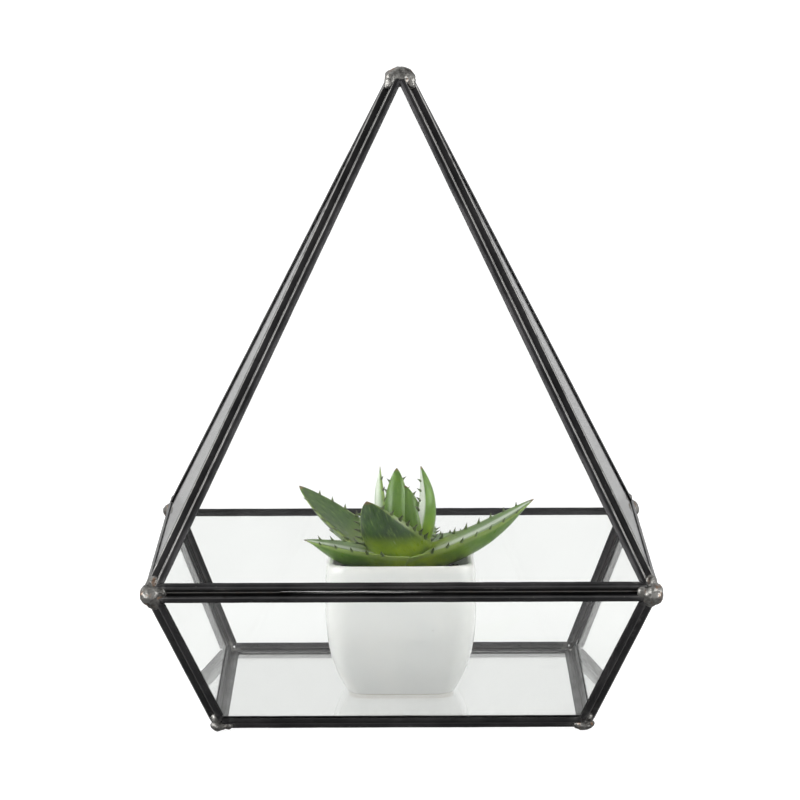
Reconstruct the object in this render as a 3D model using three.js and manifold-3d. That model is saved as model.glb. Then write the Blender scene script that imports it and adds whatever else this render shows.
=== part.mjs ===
// A glass plant terrarium: a case of glass panes in dark metal channels, soldered at its corners,
// with a toothed aloe in a square glazed pot standing on its base pane.
// Millimetres, +Z up. The case stands on z = 0 over the origin, and its open side faces +Y.
import * as THREE from "three";
import { mergeVertices } from "three/addons/utils/BufferGeometryUtils.js";
import Module from "manifold-3d";

const wasm = await Module();
wasm.setup();

// ---------------------------------------------------------------- driving sizes

// The case's planes are given by the middle planes of its panes.
const RIM_HALF = 108; // half the rim's width, where upper and lower panes meet
const BASE_HALF = 80.1; // half the base pane's width
const RIM_RISE = 63.2; // base plane to rim
const APEX_RISE = 280.9; // base plane to the point where the upper planes meet

// U-shaped channel round each pane
const CHANNEL_THICKNESS = 3.6; // across the pane
const CHANNEL_WIDTH = 3.1; // along the pane, web to flange edge
const CHANNEL_SHEET = 0.7; // thickness of the channel's sheet metal
const GLASS_THICKNESS = 1.8;
const GLASS_SHY = 0.2; // glass edge to the channel's web
const CLEARANCE = 0.3; // left between neighbouring pieces
const FOOT_DROP = 1.2; // how far the base corners' solder stands below the channels
const CHANNEL_OVERLAP = 2.2; // length of channel that a solder blob wraps

// Solder blobs: half sizes along x, y and z, where their middle is from the corner point (rise
// upwards, inset towards the case's axis), and the length of each channel left free at the corner
const APEX_BLOB = { half: [7, 6.4, 5.1], rise: -7.8, inset: 0, free: 7, seed: 11 };
const RIM_BLOB = { half: [5.8, 5.8, 5], rise: -1.2, inset: 2.1, free: 4, seed: 23 };
const BASE_BLOB = { half: [4.7, 4.7, 4.3], rise: -0.2, inset: 1.5, free: 2.6, seed: 47 };
const BLOB_DETAIL = 2;
const BLOB_LUMPS = 9;
const BLOB_LUMP_HEIGHT = 0.13; // as a share of the blob's size

// Pot
const POT_CENTRE = [-0.4, 0];
const POT_HEIGHT = 59;
const POT_TOP_HALF = 33.4;
const POT_BOTTOM_PULL = 10.4; // how much narrower each side is at the bottom
const POT_BULGE_HEIGHT = 45; // above this the sides are upright
const POT_BULGE_POWER = 2.8;
const POT_WALL = 3.2;
const POT_FLOOR = 4.5;
const POT_FOOT_FILLET = 3.2;
const POT_FOOT_SLOPE = 33; // degrees off upright of the side at the foot
const POT_LIP_TUCK = 0.7; // how far the sides lean in at the lip
const POT_CORNER_SHARE = 0.36; // corner radius as a share of the half width
const CORNER_STEPS = 5;

// Soil and plant
const SOIL_BELOW_LIP = 9;
const SOIL_LUMP = 0.9;
const SOIL_RINGS = 4;
const STEM_RADIUS = 7;
const STEM_LENGTH = 19;
const STEM_SUNK = 9; // length of stem below the soil's surface
const LEAF_STATIONS = 10;
const LEAF_EDGE = 0.7; // thickness of a leaf's margin
const LEAF_FULLNESS = 0.3; // depth of the lower face as a share of the leaf's width
const TOOTH_LENGTH = 2.6;
const TOOTH_RADIUS = 1.0;
const TOOTH_SPACING = 4.8;
const TOOTH_LEAN = 32; // degrees towards the leaf's tip

// One row for each leaf. root: place on the stem, x, y, and height above the soil. azimuth: the
// way it points in plan, counterclockwise from +X. rise: its slope at the root and at the tip.
// sweep: how far it turns in plan on the way. roll: turn about its own length. All in degrees.
// full: depth of the lower face as a share of the width, where it isn't the usual one.
const LEAVES = [
  { name: "left_high", root: [-3, 2, 8], azimuth: 166, sweep: -12, rise: [29, 36],
    length: 54, width: 22, roll: -20 },
  { name: "left_low", root: [-1, -6, 10.6], azimuth: 206, sweep: -18, rise: [10, 11],
    length: 45, width: 26, roll: -4, full: 0.36 },
  { name: "front", root: [3.1, 4.2, 8], azimuth: 244, sweep: -22, rise: [26, 58],
    length: 43, width: 32, roll: 24 },
  { name: "right_low", root: [2, -5, 9.5], azimuth: -18, sweep: 30, rise: [17, 31],
    length: 63, width: 22, roll: 8, full: 0.42 },
  { name: "upright_left", root: [-1.4, 3, 10], azimuth: 172, sweep: 0, rise: [68, 88],
    length: 39, width: 15, roll: 14 },
  { name: "upright_front", root: [-2, -1, 10], azimuth: 262, sweep: 0, rise: [88, 92],
    length: 38, width: 16, roll: 0 },
  { name: "upright_middle", root: [7, 1.2, 10], azimuth: 215, sweep: 0, rise: [76, 80],
    length: 31, width: 17, roll: 45 },
  { name: "upright_right", root: [4, 3, 9], azimuth: -18, sweep: 0, rise: [58, 108],
    length: 41, width: 16, roll: -12 },
  { name: "back_right", root: [3, 3, 9], azimuth: 36, sweep: 0, rise: [17, 2],
    length: 37, width: 19, roll: 0 },
  { name: "back_inner_right", root: [2, 5, 9], azimuth: 68, sweep: 0, rise: [18, 4],
    length: 34, width: 18, roll: 0 },
  { name: "back", root: [0, 4, 10], azimuth: 92, sweep: 0, rise: [34, 44],
    length: 35, width: 18, roll: 0 },
  { name: "back_inner_left", root: [-2, 4, 9], azimuth: 112, sweep: 0, rise: [22, 26],
    length: 36, width: 18, roll: 0 },
  { name: "back_left", root: [-4, 2, 9], azimuth: 142, sweep: 0, rise: [18, 4],
    length: 37, width: 19, roll: 0 },
];

// ---------------------------------------------------------------- levels worked out from them

const BASE_Z = FOOT_DROP + CHANNEL_THICKNESS / 2;
const RIM_Z = BASE_Z + RIM_RISE;
const APEX_Z = BASE_Z + APEX_RISE;
const GLASS_TOP_Z = BASE_Z + GLASS_THICKNESS / 2;
const POT_Z = GLASS_TOP_Z + CLEARANCE;
const SOIL_Z = POT_Z + POT_HEIGHT - SOIL_BELOW_LIP;

// ---------------------------------------------------------------- materials

const standard = (color, roughness, metalness, more = {}) =>
  new THREE.MeshStandardMaterial({ color, roughness, metalness, ...more });

const MATERIALS = {
  channel: standard(0x2a2b2e, 0.45, 0.85),
  solder: standard(0x77736c, 0.4, 0.9),
  glass: standard(0xe8f0ec, 0.03, 0, { transparent: true, opacity: 0.3 }),
  pot: standard(0xf2f2ee, 0.2, 0),
  soil: standard(0x2d241d, 0.95, 0),
  leaf: standard(0x5c8a46, 0.42, 0),
};

// ---------------------------------------------------------------- solids

const radians = THREE.MathUtils.degToRad;
const vector = (x, y, z) => new THREE.Vector3(x, y, z);

// A closed geometry as a solid that can be joined and cut. One that is inside out is turned round.
function solidOf(geometry) {
  const bare = geometry.index ? geometry.toNonIndexed() : geometry.clone();
  bare.deleteAttribute("normal");
  bare.deleteAttribute("uv");
  const merged = mergeVertices(bare, 1e-4);
  const corners = merged.index.array;
  const places = merged.attributes.position;
  const triangles = [];
  for (let i = 0; i < corners.length; i += 3) {
    const [a, b, c] = [corners[i], corners[i + 1], corners[i + 2]];
    if (a !== b && b !== c && c !== a) triangles.push(a, b, c);
  }
  const volume = signedVolume(places, triangles);
  if (volume < 0) triangles.reverse();
  return new wasm.Manifold(
    new wasm.Mesh({
      numProp: 3,
      vertProperties: new Float32Array(places.array),
      triVerts: new Uint32Array(triangles),
    }),
  );
}

function signedVolume(places, triangles) {
  const [a, b, c] = [vector(), vector(), vector()];
  let six = 0;
  for (let i = 0; i < triangles.length; i += 3) {
    a.fromBufferAttribute(places, triangles[i]);
    b.fromBufferAttribute(places, triangles[i + 1]);
    c.fromBufferAttribute(places, triangles[i + 2]);
    six += a.dot(b.cross(c));
  }
  return six;
}

function geometryOf(solid) {
  const mesh = solid.getMesh();
  const geometry = new THREE.BufferGeometry();
  geometry.setAttribute("position", new THREE.BufferAttribute(mesh.vertProperties, 3));
  geometry.setIndex(new THREE.BufferAttribute(mesh.triVerts, 1));
  geometry.computeVertexNormals();
  return geometry;
}

// The largest body of a solid, so that no loose scrap of a cut is left.
function largestBody(solid) {
  const bodies = solid.decompose();
  return bodies.reduce((best, body) => (body.volume() > best.volume() ? body : best));
}

// A closed solid through rings of equally many points, with both end rings capped.
function loft(rings) {
  const count = rings[0].length;
  const places = rings.flat().flatMap((p) => [p.x, p.y, p.z]);
  const first = rings.length * count;
  for (const ring of [rings[0], rings[rings.length - 1]]) {
    const middle = ring.reduce((sum, p) => sum.add(p), vector(0, 0, 0)).divideScalar(count);
    places.push(middle.x, middle.y, middle.z);
  }
  const index = [];
  for (let r = 0; r + 1 < rings.length; r++) {
    for (let i = 0; i < count; i++) {
      const [a, b] = [r * count + i, r * count + ((i + 1) % count)];
      index.push(a, b, b + count, a, b + count, a + count);
    }
  }
  const last = (rings.length - 1) * count;
  for (let i = 0; i < count; i++) {
    const next = (i + 1) % count;
    index.push(first, next, i);
    index.push(first + 1, last + i, last + next);
  }
  const geometry = new THREE.BufferGeometry();
  geometry.setAttribute("position", new THREE.Float32BufferAttribute(places, 3));
  geometry.setIndex(index);
  return solidOf(geometry);
}

// A repeatable run of random numbers from 0 to 1.
function randomRun(seed) {
  let state = seed >>> 0;
  return () => {
    state = (Math.imul(state, 1664525) + 1013904223) >>> 0;
    return state / 4294967296;
  };
}

const part = new THREE.Group();

function addMesh(name, solid, material) {
  const mesh = new THREE.Mesh(geometryOf(solid), material);
  mesh.name = name;
  part.add(mesh);
}

// ---------------------------------------------------------------- the case's corners and panes

const SIDES = ["front", "right", "back", "left"];
// The corner at the start of each side, going counterclockwise seen from above.
const SIGNS = { front: [-1, -1], right: [1, -1], back: [1, 1], left: [-1, 1] };
const cornerOf = (side, half, z) => vector(SIGNS[side][0] * half, SIGNS[side][1] * half, z);
const nextSide = (side) => SIDES[(SIDES.indexOf(side) + 1) % SIDES.length];
const rimCorner = (side) => cornerOf(side, RIM_HALF, RIM_Z);
const baseCorner = (side) => cornerOf(side, BASE_HALF, BASE_Z);
const APEX = vector(0, 0, APEX_Z);

// A pane: its corners counterclockwise seen from outside, and for each side from one corner to the
// next the side's name, as seen from outside, and the kind of edge it lies on.
function pane(name, corners, edges) {
  const along = corners.map((p, i) => corners[(i + 1) % corners.length].clone().sub(p).normalize());
  const normal = along[0].clone().cross(along[1]).normalize();
  const inward = along.map((d) => normal.clone().cross(d));
  return { name, corners, edges, along, inward, normal };
}

function basePane() {
  const order = ["front", "left", "back", "right"];
  return pane(
    "base",
    order.map(baseCorner),
    ["left", "back", "right", "front"].map((side) => [side, "foot"]),
  );
}

function lowerPane(side) {
  const next = nextSide(side);
  return pane(
    "lower_" + side,
    [baseCorner(side), baseCorner(next), rimCorner(next), rimCorner(side)],
    [
      ["bottom", "foot"],
      ["right", "lowerCorner"],
      ["top", "rim"],
      ["left", "lowerCorner"],
    ],
  );
}

function upperPane(side) {
  return pane(
    "upper_" + side,
    [rimCorner(side), rimCorner(nextSide(side)), APEX.clone()],
    [
      ["bottom", "rim"],
      ["right", "upperCorner"],
      ["left", "upperCorner"],
    ],
  );
}

const GLAZED_ABOVE = ["front", "right", "left"]; // the back triangle is the way in
const PANES = [basePane(), ...SIDES.map(lowerPane), ...GLAZED_ABOVE.map(upperPane)];

// How far a channel's web stays from the edge line, so that two channels at that edge just clear.
function webOffset(one, other) {
  const half = (Math.PI - one.normal.angleTo(other.normal)) / 2;
  return ((CHANNEL_THICKNESS / 2) * Math.cos(half) + CLEARANCE / 2) / Math.sin(half);
}

const paneNamed = (name) => PANES.find((p) => p.name === name);
const WEB_OFFSET = {
  foot: webOffset(paneNamed("base"), paneNamed("lower_front")),
  rim: webOffset(paneNamed("lower_front"), paneNamed("upper_front")),
  lowerCorner: webOffset(paneNamed("lower_front"), paneNamed("lower_right")),
  upperCorner: webOffset(paneNamed("upper_front"), paneNamed("upper_right")),
};

// Length of channel left free of each corner, for the solder's core.
function freeAt(corner) {
  if (corner.z > RIM_Z + 1) return APEX_BLOB.free;
  return corner.z > BASE_Z + 1 ? RIM_BLOB.free : BASE_BLOB.free;
}

// ---------------------------------------------------------------- channels

// The channel's section, with x into the pane and y along the pane's outward normal.
function channelSection(offset) {
  const [far, half] = [offset + CHANNEL_WIDTH, CHANNEL_THICKNESS / 2];
  const slot = half - CHANNEL_SHEET;
  const floor = offset + CHANNEL_SHEET;
  return [
    [offset, -half],
    [far, -half],
    [far, -slot],
    [floor, -slot],
    [floor, slot],
    [far, slot],
    [far, half],
    [offset, half],
  ];
}

// The outline of the channel with its clearance, for cutting it out of the solder.
function channelEnvelope(offset) {
  const [near, far] = [offset - CLEARANCE, offset + CHANNEL_WIDTH + CLEARANCE];
  const half = CHANNEL_THICKNESS / 2 + CLEARANCE;
  return [
    [near, -half],
    [far, -half],
    [far, half],
    [near, half],
  ];
}

// A bar of that section along one side of a pane, mitred at the pane's corners and cut off short
// of them. spare makes it longer at each end by that much.
function channelBar(from, i, section, spare) {
  const count = from.corners.length;
  const [start, end] = [from.corners[i], from.corners[(i + 1) % count]];
  const shape = new THREE.Shape(section.map(([x, y]) => new THREE.Vector2(x, y)));
  const run = new THREE.ExtrudeGeometry(shape, { depth: start.distanceTo(end), bevelEnabled: false });
  const basis = new THREE.Matrix4().makeBasis(from.inward[i], from.normal, from.along[i]);
  run.applyMatrix4(basis.setPosition(start));
  let bar = solidOf(run);
  const ends = [
    [start, from.inward[(i + count - 1) % count], from.along[i]],
    [end, from.inward[(i + 1) % count], from.along[i].clone().negate()],
  ];
  for (const [corner, neighbourInward, keep] of ends) {
    const bisector = from.inward[i].clone().add(neighbourInward).normalize();
    const mitre = from.normal.clone().cross(bisector);
    if (mitre.dot(keep) < 0) mitre.negate();
    bar = bar.trimByPlane(mitre.toArray(), mitre.dot(corner) + CLEARANCE / 2 - spare);
    bar = bar.trimByPlane(keep.toArray(), keep.dot(corner) + freeAt(corner) - spare);
  }
  return bar;
}

function addChannels(from) {
  from.edges.forEach(([edge, kind], i) => {
    const bar = channelBar(from, i, channelSection(WEB_OFFSET[kind]), 0);
    addMesh(`channel_${from.name}_${edge}`, bar, MATERIALS.channel);
  });
}

// ---------------------------------------------------------------- glass

// The pane's outline drawn in from its edge lines into the channels' slots, with its sharp
// corners taken off where the solder's core is. spare makes it that much thicker on each face.
function glassSheet(from, spare) {
  const inset = from.edges.map(([, kind]) => WEB_OFFSET[kind] + CHANNEL_SHEET + GLASS_SHY);
  const count = from.corners.length;
  const outline = from.corners.map((corner, i) => {
    const before = (i + count - 1) % count;
    const [here, previous] = [from.inward[i], from.inward[before]];
    const slide = (inset[before] - inset[i] * here.dot(previous)) / from.along[i].dot(previous);
    return corner.clone().addScaledVector(here, inset[i]).addScaledVector(from.along[i], slide);
  });
  const faces = [-1, 1].map((side) =>
    outline.map((p) => p.clone().addScaledVector(from.normal, side * (GLASS_THICKNESS / 2 + spare))),
  );
  let sheet = loft(faces);
  from.corners.forEach((corner, i) => {
    const into = outline[i].clone().sub(corner).normalize();
    const free = freeAt(corner) + CHANNEL_OVERLAP - spare;
    sheet = sheet.trimByPlane(into.toArray(), into.dot(corner) + free);
  });
  return sheet;
}

// ---------------------------------------------------------------- solder

// A lumpy round blob: a sphere with seeded low lumps, stretched to its half sizes.
function lumpyBlob(centre, blob, seed) {
  const random = randomRun(seed);
  const lumps = Array.from({ length: BLOB_LUMPS }, () => ({
    way: vector(random() - 0.5, random() - 0.5, random() - 0.5).normalize(),
    height: (random() * 1.6 - 0.6) * BLOB_LUMP_HEIGHT,
  }));
  const ball = new THREE.IcosahedronGeometry(1, BLOB_DETAIL);
  const places = ball.attributes.position;
  const p = vector();
  for (let i = 0; i < places.count; i++) {
    p.fromBufferAttribute(places, i);
    const bump = lumps.reduce((sum, l) => sum + l.height * Math.max(0, p.dot(l.way)) ** 3, 1);
    places.setXYZ(
      i,
      centre.x + p.x * bump * blob.half[0],
      centre.y + p.y * bump * blob.half[1],
      centre.z + p.z * bump * blob.half[2],
    );
  }
  return solidOf(ball);
}

// The blob at one corner, with every channel and pane that ends there cut out of it.
function cornerSolder(name, corner, blob, seed) {
  const inset = vector(-Math.sign(corner.x), -Math.sign(corner.y), 0).multiplyScalar(blob.inset);
  const centre = corner.clone().add(inset).add(vector(0, 0, blob.rise));
  let solid = lumpyBlob(centre, blob, seed);
  for (const from of PANES) {
    from.corners.forEach((p, i) => {
      if (p.distanceTo(corner) > 1e-3) return;
      const before = (i + from.corners.length - 1) % from.corners.length;
      for (const side of [before, i]) {
        const envelope = channelEnvelope(WEB_OFFSET[from.edges[side][1]]);
        solid = solid.subtract(channelBar(from, side, envelope, CLEARANCE));
      }
      solid = solid.subtract(glassSheet(from, CLEARANCE));
    });
  }
  solid = solid.trimByPlane([0, 0, 1], 0);
  addMesh(name, largestBody(solid), MATERIALS.solder);
}

function addSolder() {
  cornerSolder("solder_apex", APEX, APEX_BLOB, APEX_BLOB.seed);
  SIDES.forEach((side, i) => {
    const at = `${side}_${sideBefore(side)}`;
    cornerSolder(`solder_rim_${at}`, rimCorner(side), RIM_BLOB, RIM_BLOB.seed + i);
    cornerSolder(`solder_base_${at}`, baseCorner(side), BASE_BLOB, BASE_BLOB.seed + i);
  });
}

// The side that meets this one at its first corner.
function sideBefore(side) {
  return SIDES[(SIDES.indexOf(side) + SIDES.length - 1) % SIDES.length];
}

// ---------------------------------------------------------------- pot and soil

// A square with round corners, as a ring of points at height z.
function roundedSquare(half, z) {
  const radius = half * POT_CORNER_SHARE;
  const ring = [];
  for (let corner = 0; corner < 4; corner++) {
    const turn = (corner * Math.PI) / 2;
    for (let step = 0; step <= CORNER_STEPS; step++) {
      const angle = turn + (step / CORNER_STEPS) * (Math.PI / 2);
      const [cx, cy] = [Math.cos(turn + Math.PI / 4), Math.sin(turn + Math.PI / 4)];
      const reach = (half - radius) * Math.SQRT2;
      ring.push(
        vector(
          POT_CENTRE[0] + cx * reach + Math.cos(angle) * radius,
          POT_CENTRE[1] + cy * reach + Math.sin(angle) * radius,
          z,
        ),
      );
    }
  }
  return ring;
}

// Half the pot's outer width at a height above its foot.
function potHalf(height) {
  const below = Math.max(0, 1 - height / POT_BULGE_HEIGHT);
  const above = Math.max(0, height - POT_BULGE_HEIGHT) / (POT_HEIGHT - POT_BULGE_HEIGHT);
  return POT_TOP_HALF - POT_BOTTOM_PULL * below ** POT_BULGE_POWER - POT_LIP_TUCK * above ** 2;
}

function addPot() {
  const outside = [];
  // The foot's fillet ends where it runs along the sloping side.
  const lastAngle = radians(90 - POT_FOOT_SLOPE);
  const lastHeight = POT_FOOT_FILLET * (1 - Math.cos(lastAngle));
  const filletMiddle = potHalf(lastHeight) - POT_FOOT_FILLET * Math.sin(lastAngle);
  for (const share of [0, 0.5, 1]) {
    const angle = lastAngle * share;
    const height = POT_FOOT_FILLET * (1 - Math.cos(angle));
    outside.push(roundedSquare(filletMiddle + POT_FOOT_FILLET * Math.sin(angle), POT_Z + height));
  }
  for (const height of [6, 10, 15, 21, 28, 36, 45, 53]) {
    outside.push(roundedSquare(potHalf(height), POT_Z + height));
  }
  const lipRadius = POT_WALL / 2;
  const lipMiddle = potHalf(POT_HEIGHT) - lipRadius;
  for (const angle of [0, 36, 72, 108, 144, 180].map(radians)) {
    const half = lipMiddle + lipRadius * Math.cos(angle);
    outside.push(roundedSquare(half, POT_Z + POT_HEIGHT - lipRadius * (1 - Math.sin(angle))));
  }
  for (const height of [45, 28, 15, POT_FLOOR + 3, POT_FLOOR]) {
    outside.push(roundedSquare(potHalf(height) - POT_WALL, POT_Z + height));
  }
  addMesh("pot", loft(outside), MATERIALS.pot);
}

function addSoil(hole) {
  const rings = [];
  const fill = (height) => potHalf(height) - POT_WALL - CLEARANCE;
  const surface = SOIL_Z - POT_Z;
  for (const height of [POT_FLOOR + CLEARANCE, POT_FLOOR + 3, 15, 28, 45, surface - 1.2]) {
    rings.push(roundedSquare(Math.min(fill(height), fill(POT_HEIGHT)), POT_Z + height));
  }
  const random = randomRun(5);
  for (let ring = SOIL_RINGS; ring >= 1; ring--) {
    const half = (fill(POT_HEIGHT) * (ring - 0.3)) / SOIL_RINGS;
    const crumbs = roundedSquare(half, SOIL_Z);
    crumbs.forEach((p) => (p.z += (random() - 0.5) * SOIL_LUMP));
    rings.push(crumbs);
  }
  addMesh("soil", loft(rings).subtract(hole), MATERIALS.soil);
}

// ---------------------------------------------------------------- aloe

// The place and the three directions of a leaf's frame at a share s of its length.
function leafFrames(leaf) {
  const steps = LEAF_STATIONS * 4;
  const place = vector(leaf.root[0], leaf.root[1], SOIL_Z + leaf.root[2]);
  const frames = [];
  for (let i = 0; i <= steps; i++) {
    const s = i / steps;
    const azimuth = radians(leaf.azimuth + leaf.sweep * s);
    const slope = radians(leaf.rise[0] + (leaf.rise[1] - leaf.rise[0]) * s);
    const tangent = vector(
      Math.cos(slope) * Math.cos(azimuth),
      Math.cos(slope) * Math.sin(azimuth),
      Math.sin(slope),
    );
    const side = vector(-Math.sin(azimuth), Math.cos(azimuth), 0);
    side.applyAxisAngle(tangent, radians(leaf.roll));
    const up = tangent.clone().cross(side);
    frames.push({ s, place: place.clone(), tangent, side, up });
    place.addScaledVector(tangent, leaf.length / steps);
  }
  return frames;
}

const leafHalfWidth = (leaf, s) => (leaf.width / 2) * (1 - s) ** 0.75 * (0.8 + 0.9 * s);
const leafDepth = (leaf, s) => leaf.width * (leaf.full ?? LEAF_FULLNESS) * (1 - s ** 3) + LEAF_EDGE * 0.6;
const leafHollow = (leaf, s) => leafHalfWidth(leaf, s) * 0.22 * (1 - s);

// The ring of a leaf's section: a hollow upper face, a margin and a full lower face.
function leafRing(leaf, frame) {
  const half = Math.max(leafHalfWidth(leaf, frame.s), LEAF_EDGE / 2);
  const [depth, hollow, edge] = [leafDepth(leaf, frame.s), leafHollow(leaf, frame.s), LEAF_EDGE / 2];
  const outline = [
    [-1, edge],
    [-0.5, edge - hollow * 0.75],
    [0, edge - hollow],
    [0.5, edge - hollow * 0.75],
    [1, edge],
    [1, -edge],
    [0.64, -edge - depth * 0.66],
    [0, -edge - depth],
    [-0.64, -edge - depth * 0.66],
    [-1, -edge],
  ];
  return outline.map(([across, up]) =>
    frame.place.clone().addScaledVector(frame.side, across * half).addScaledVector(frame.up, up),
  );
}

// Small three-sided spikes along both margins, leaning towards the tip.
function leafTeeth(leaf, frames) {
  const count = Math.floor((leaf.length * 0.72) / TOOTH_SPACING);
  const teeth = [];
  for (const hand of [-1, 1]) {
    for (let k = 0; k < count; k++) {
      const s = 0.2 + (0.72 * (k + (hand > 0 ? 0.5 : 0.25))) / count;
      const frame = frames[Math.round(s * (frames.length - 1))];
      const size = 1 - 0.55 * s ** 2;
      const out = frame.side.clone().multiplyScalar(hand * Math.cos(radians(TOOTH_LEAN)));
      out.addScaledVector(frame.tangent, Math.sin(radians(TOOTH_LEAN)));
      const spike = new THREE.ConeGeometry(TOOTH_RADIUS * size, TOOTH_LENGTH * size + 1, 3);
      spike.translate(0, (TOOTH_LENGTH * size) / 2 - 0.5, 0);
      spike.scale(1, 1, 0.75);
      const basis = new THREE.Matrix4().makeBasis(out.clone().cross(frame.up), out, frame.up);
      const root = frame.place.clone().addScaledVector(frame.side, hand * leafHalfWidth(leaf, frame.s));
      spike.applyMatrix4(basis.setPosition(root));
      teeth.push(solidOf(spike));
    }
  }
  return teeth;
}

function leafSolid(leaf) {
  const frames = leafFrames(leaf);
  const step = (frames.length - 1) / LEAF_STATIONS;
  const rings = [];
  for (let i = 0; i <= LEAF_STATIONS; i++) rings.push(leafRing(leaf, frames[Math.round(i * step)]));
  return leafTeeth(leaf, frames).reduce((solid, tooth) => solid.add(tooth), loft(rings));
}

function stemSolid(radius, below) {
  const stem = new THREE.CylinderGeometry(radius * 0.75, radius, STEM_LENGTH + below, 12);
  stem.rotateX(Math.PI / 2);
  stem.translate(0, 0, SOIL_Z - STEM_SUNK + (STEM_LENGTH - below) / 2);
  return solidOf(stem);
}

function addAloe() {
  const plant = LEAVES.map(leafSolid).reduce((solid, leaf) => solid.add(leaf), stemSolid(STEM_RADIUS, 0));
  addMesh("aloe", largestBody(plant), MATERIALS.leaf);
}

// ---------------------------------------------------------------- the whole

PANES.forEach(addChannels);
PANES.forEach((from) => addMesh(`glass_${from.name}`, glassSheet(from, 0), MATERIALS.glass));
addSolder();
addPot();
addSoil(stemSolid(STEM_RADIUS + CLEARANCE, CLEARANCE));
addAloe();

export default part;
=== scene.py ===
# %% [markdown]
# # A glass plant terrarium
# The real object is a case of flat glass panes. Each pane sits in folded dark metal channels,
# solder joins the corners, and a toothed aloe in a square glazed pot stands inside. The packed
# model gives every size, so the lesson starts by loading it. The panes' own
# solids are flat and exact and stay; everything that is folded, lumpy, glazed or grown is made
# finer here, in the same place.

import math

import bpy
import numpy as np
from mathutils import Matrix, Vector


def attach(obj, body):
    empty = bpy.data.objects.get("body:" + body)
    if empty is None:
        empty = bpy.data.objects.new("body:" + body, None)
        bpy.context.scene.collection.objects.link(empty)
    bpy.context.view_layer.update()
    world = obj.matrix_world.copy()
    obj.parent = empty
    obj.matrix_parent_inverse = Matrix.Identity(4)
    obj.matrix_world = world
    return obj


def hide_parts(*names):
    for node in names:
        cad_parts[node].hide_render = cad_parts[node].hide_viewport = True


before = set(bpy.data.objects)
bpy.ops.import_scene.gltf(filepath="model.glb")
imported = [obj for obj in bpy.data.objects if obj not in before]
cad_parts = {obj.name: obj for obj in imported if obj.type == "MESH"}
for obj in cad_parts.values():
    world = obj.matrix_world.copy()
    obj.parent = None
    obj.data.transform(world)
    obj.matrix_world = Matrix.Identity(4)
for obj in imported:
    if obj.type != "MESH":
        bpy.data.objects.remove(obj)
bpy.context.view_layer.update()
MM = 0.001

# %% [markdown]
# Before any piece, the camera. The photo looks almost level at the case from far away, so the
# lens is long and the slope small. Both were worked out from the case's nine corners. It comes
# first so that every later look at the scene is from the photo's place.

# %% Camera at the photo's place
CAMERA_SLOPE = math.radians(8.34)
CAMERA_DISTANCE = 2100.6 * MM
CAMERA_TARGET = Vector((-0.44, 0, 132.8)) * MM
CAMERA_ROLL = math.radians(-0.2)
SENSOR_WIDTH, FOCAL_LENGTH = 36, 212.8


def in_scene(name, data):
    made = bpy.data.objects.new(name, data)
    bpy.context.scene.collection.objects.link(made)
    return made


lens = bpy.data.cameras.new("camera")
lens.sensor_width = SENSOR_WIDTH
lens.lens = FOCAL_LENGTH
lens.clip_start = 0.1
lens.clip_end = 100
camera = in_scene("camera", lens)
bpy.context.scene.camera = camera
back_off = Vector((0, -math.cos(CAMERA_SLOPE), math.sin(CAMERA_SLOPE)))
camera.location = CAMERA_TARGET + back_off * CAMERA_DISTANCE
level = Matrix.Rotation(math.pi / 2 - CAMERA_SLOPE, 3, "X")
camera.rotation_euler = (level @ Matrix.Rotation(CAMERA_ROLL, 3, "Z")).to_euler()
print("camera at", tuple(round(v, 4) for v in camera.location))

# %% [markdown]
# Node trees read best as formulas. A Value is one output of a node: +, - and * with it add math
# nodes to its tree, and square brackets give another output of the same node.

# %% Nodes as formulas
class Value:
    """One output of a node. Arithmetic with it adds math nodes to its tree."""

    def __init__(self, socket):
        self.socket, self.tree = socket, socket.id_data

    def __getitem__(self, output):
        return Value(self.socket.node.outputs[output])

    def math(self, operation, *others):
        return node(self.tree, "Math", dict(enumerate((self, *others))), operation=operation)

    def __add__(self, other):
        return self.math("ADD", other)

    def __sub__(self, other):
        return self.math("SUBTRACT", other)

    def __mul__(self, other):
        return self.math("MULTIPLY", other)

    def __rsub__(self, number):
        return node(self.tree, "Math", {0: number, 1: self}, operation="SUBTRACT")

    def __neg__(self):
        return self * -1.0


def node(tree, kind, inputs=None, **settings):
    """A new node's first output. Its kind is named without ShaderNode or GeometryNode in front,
    and its inputs are numbers, vectors, colours or Values."""
    families = ("ShaderNode", "GeometryNode", "FunctionNode", "")
    made = tree.nodes.new(next(f + kind for f in families if hasattr(bpy.types, f + kind)))
    for key, value in settings.items():
        setattr(made, key, value)
    for socket, value in (inputs or {}).items():
        if isinstance(value, Value):
            tree.links.new(value.socket, made.inputs[socket])
        else:
            made.inputs[socket].default_value = value
    return Value(made.outputs[0]) if made.outputs else None


def remap(value, low, high, to_low=0.0, to_high=1.0):
    """The value moved from one range to another with soft ends, and held at those ends."""
    ranges = {"From Min": low, "From Max": high, "To Min": to_low, "To Max": to_high}
    return node(value.tree, "MapRange", {"Value": value, **ranges},
                interpolation_type="SMOOTHSTEP")


def new_group(kind, name, inputs, outputs):
    """A node group with named inputs and outputs. Its inputs are read by name as Values."""
    group = bpy.data.node_groups.new(name, kind)
    for direction, sockets in (("INPUT", inputs), ("OUTPUT", outputs)):
        for label, family, *value in sockets:
            socket = group.interface.new_socket(label, in_out=direction,
                                                socket_type="NodeSocket" + family)
            if value:
                socket.default_value = value[0]
    return group, Value(group.nodes.new("NodeGroupInput").outputs[0])


print("node helpers ready")
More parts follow.
